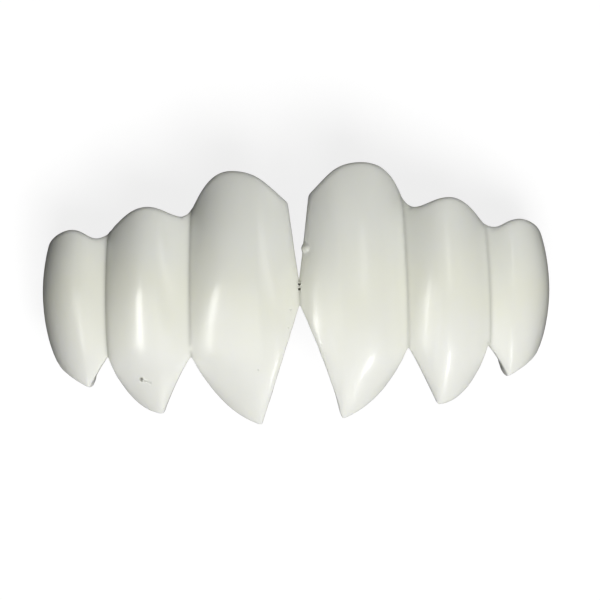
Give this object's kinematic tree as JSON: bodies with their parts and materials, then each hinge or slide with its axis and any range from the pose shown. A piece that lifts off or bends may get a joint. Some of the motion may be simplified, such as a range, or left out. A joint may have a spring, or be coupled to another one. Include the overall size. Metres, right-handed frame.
{
  "type": "novelty fake teeth",
  "caption": "Arched row of pointed upper teeth, a thin hollow-backed veneer of glossy ivory acrylic that is worn over the wearer's own front teeth as part of a costume.",
  "frame": {"origin": "on the surface that the veneer lies on, under the middle of its bounding box", "axes": "+X along the row of teeth to the right as seen from the front, +Y from the tips to the gum line, +Z out of the front of the teeth"},
  "size_m": [0.0446, 0.0228, 0.0117],
  "materials": {
    "ivory_acrylic": "gloss"
  },
  "bodies": {
    "root": {"fang_veneer": "ivory_acrylic"}
  },
  "joints": []
}
